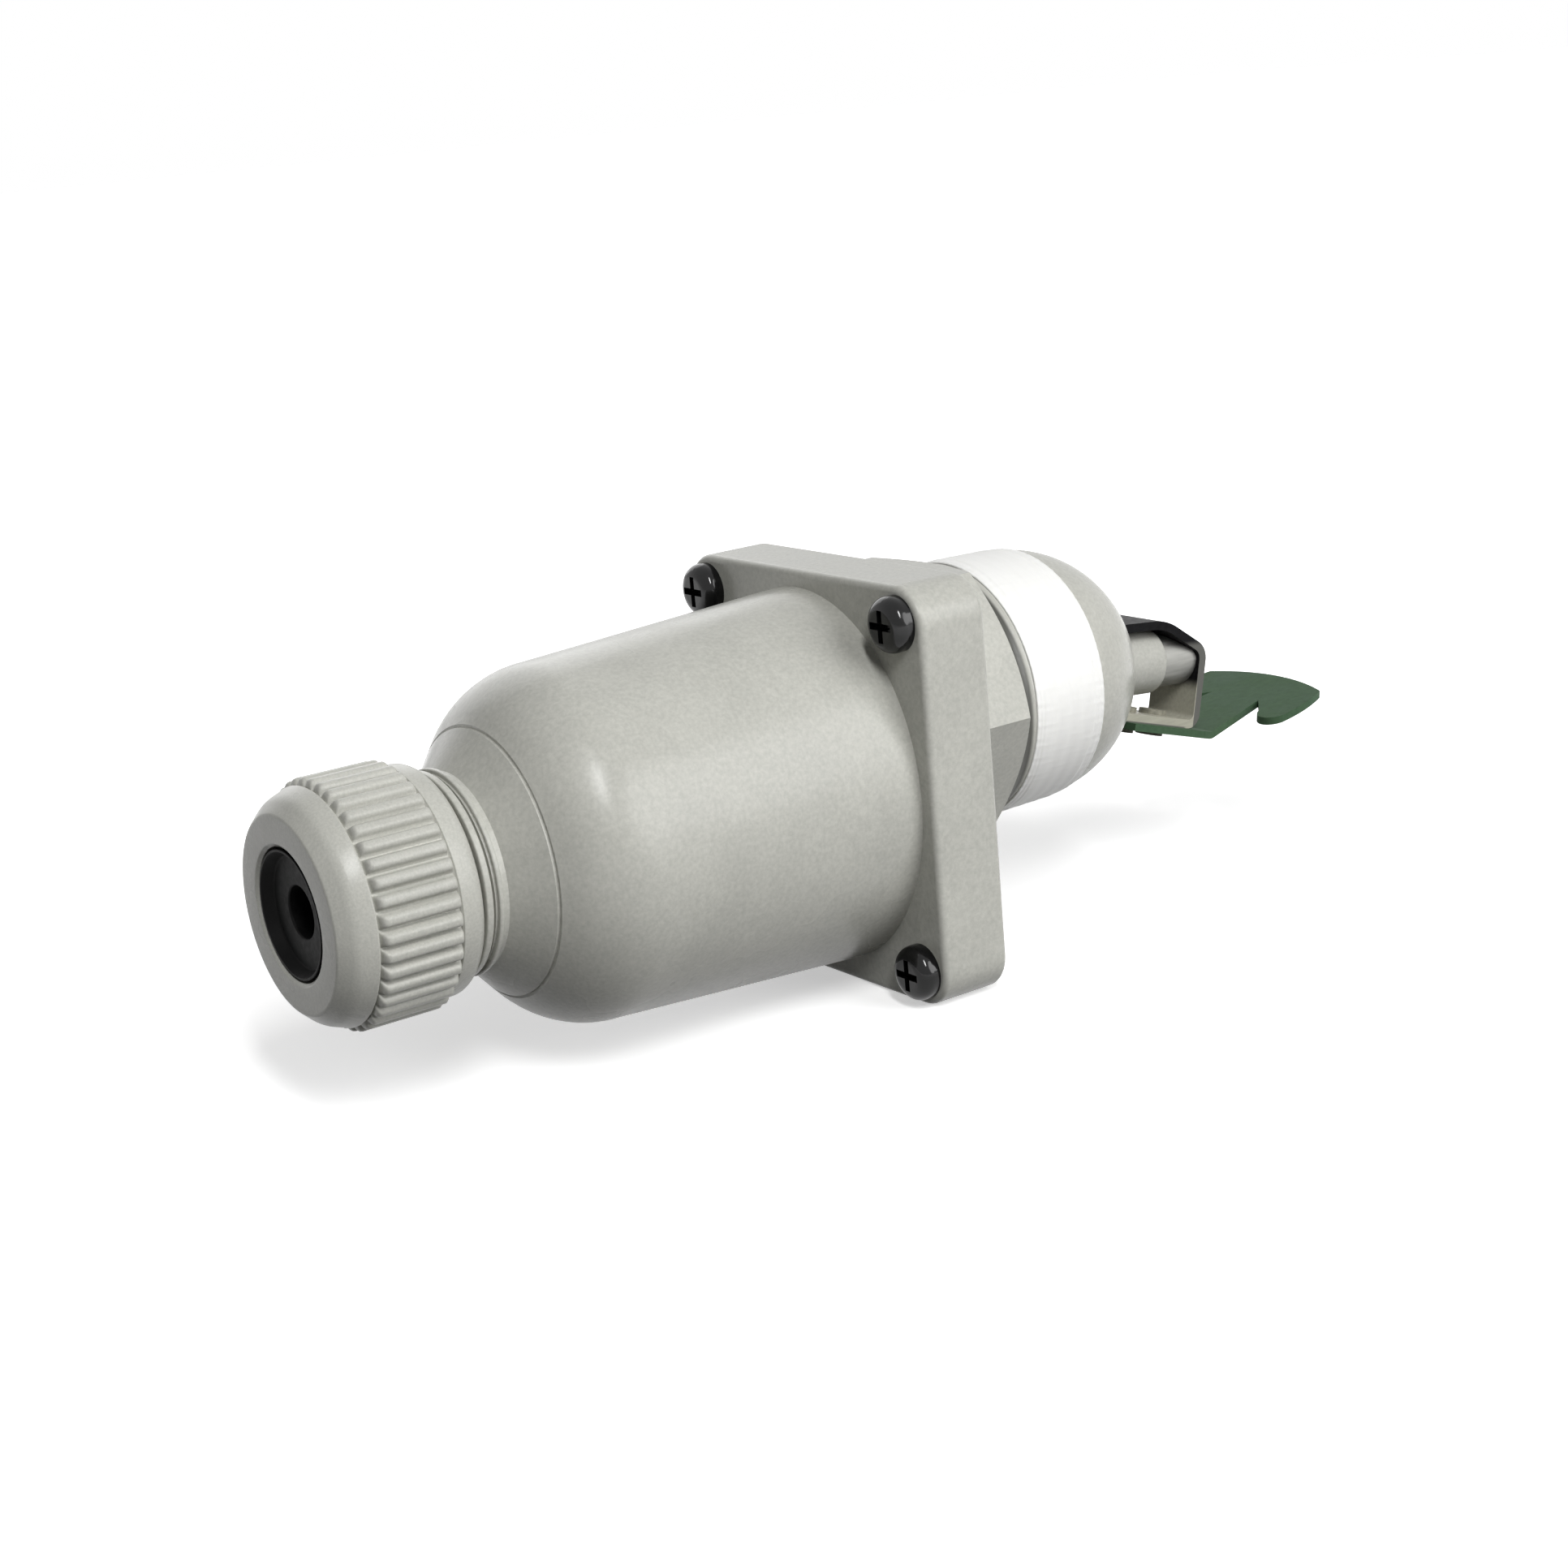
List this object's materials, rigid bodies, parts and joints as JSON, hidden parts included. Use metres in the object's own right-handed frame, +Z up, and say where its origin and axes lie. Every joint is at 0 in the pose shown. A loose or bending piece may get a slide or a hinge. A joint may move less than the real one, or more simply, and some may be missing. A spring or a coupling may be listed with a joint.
{
  "type": "flow switch",
  "caption": "Paddle flow switch: a bell cover with a ribbed cable gland, a hexagon with a taped pipe thread, and a rocking paddle that works a snap switch.",
  "frame": {"origin": "on the axis of the pipe thread, at the middle of its taped length", "axes": "+X along the pipe thread from the cable gland to the paddle, +Z up"},
  "size_m": [0.157, 0.049, 0.053],
  "materials": {
    "housing_plastic": "fine moulded satin",
    "gland_plastic": "moulded satin",
    "slip_ring_plastic": "smooth",
    "black_rubber": "matte",
    "black_steel": "blackened",
    "sealing_tape": "wound film",
    "stainless": "brushed",
    "sleeve_plastic": "satin",
    "paddle_metal": "dull coated",
    "bush_brass": "turned",
    "switch_plastic": "moulded",
    "plunger_plastic": "smooth",
    "terminal_brass": "tinned",
    "bracket_steel": "zinc plated"
  },
  "bodies": {
    "housing": {"cover": "housing_plastic", "body": "housing_plastic", "gland_seal": "black_rubber", "cover_gasket": "black_rubber", "cover_screws": "black_steel", "thread_tape": "sealing_tape", "pivot_pin": "stainless", "guide_bush": "bush_brass", "rod_seal": "black_rubber", "return_spring": "stainless", "switch_case": "switch_plastic", "switch_terminals": "terminal_brass", "switch_bracket": "bracket_steel", "bracket_screws": "bracket_steel", "switch_screws": "bracket_steel", "switch_nuts": "bracket_steel"},
    "paddle_lever": {"lever": "stainless", "stem_sleeve": "sleeve_plastic", "paddle_stirrup": "black_steel", "paddle": "paddle_metal", "paddle_rivets": "stainless"},
    "pusher": {"push_rod": "stainless", "rod_clip": "stainless"},
    "plunger": {"switch_plunger": "plunger_plastic"},
    "slip_ring": {"gland_slip_ring": "slip_ring_plastic"},
    "nut": {"gland_nut": "gland_plastic"}
  },
  "joints": [
    {"name": "paddle_swing", "type": "hinge", "parent": "housing", "child": "paddle_lever", "pos_m": [0.0015, 0, 0], "axis": [0, -1, 0], "range_deg": [0, 12], "stiffness_Nm_per_rad": 0.02, "springref_deg": -28.65, "deforming": ["return_spring"]},
    {"name": "push_travel", "type": "slide", "parent": "housing", "child": "pusher", "axis": [-1, 0, 0], "range_m": [0, 0.00106]},
    {"name": "plunger_travel", "type": "slide", "parent": "housing", "child": "plunger", "axis": [-1, 0, 0], "range_m": [0, 0.00106]},
    {"name": "gland_travel", "type": "slide", "parent": "housing", "child": "slip_ring", "axis": [-1, 0, 0], "range_m": [0, 0.003]},
    {"name": "gland_turn", "type": "hinge", "parent": "slip_ring", "child": "nut", "pos_m": [-0.0935, 0, -0.0062], "axis": [-1, 0, 0], "range_deg": [0, 722]}
  ],
  "couplings": [
    {"joint": "push_travel", "follows": "paddle_swing", "m_per_rad": 0.0050184},
    {"joint": "plunger_travel", "follows": "paddle_swing", "m_per_rad": 0.0050184},
    {"joint": "gland_turn", "follows": "gland_travel", "rad_per_m": 4188.8}
  ]
}
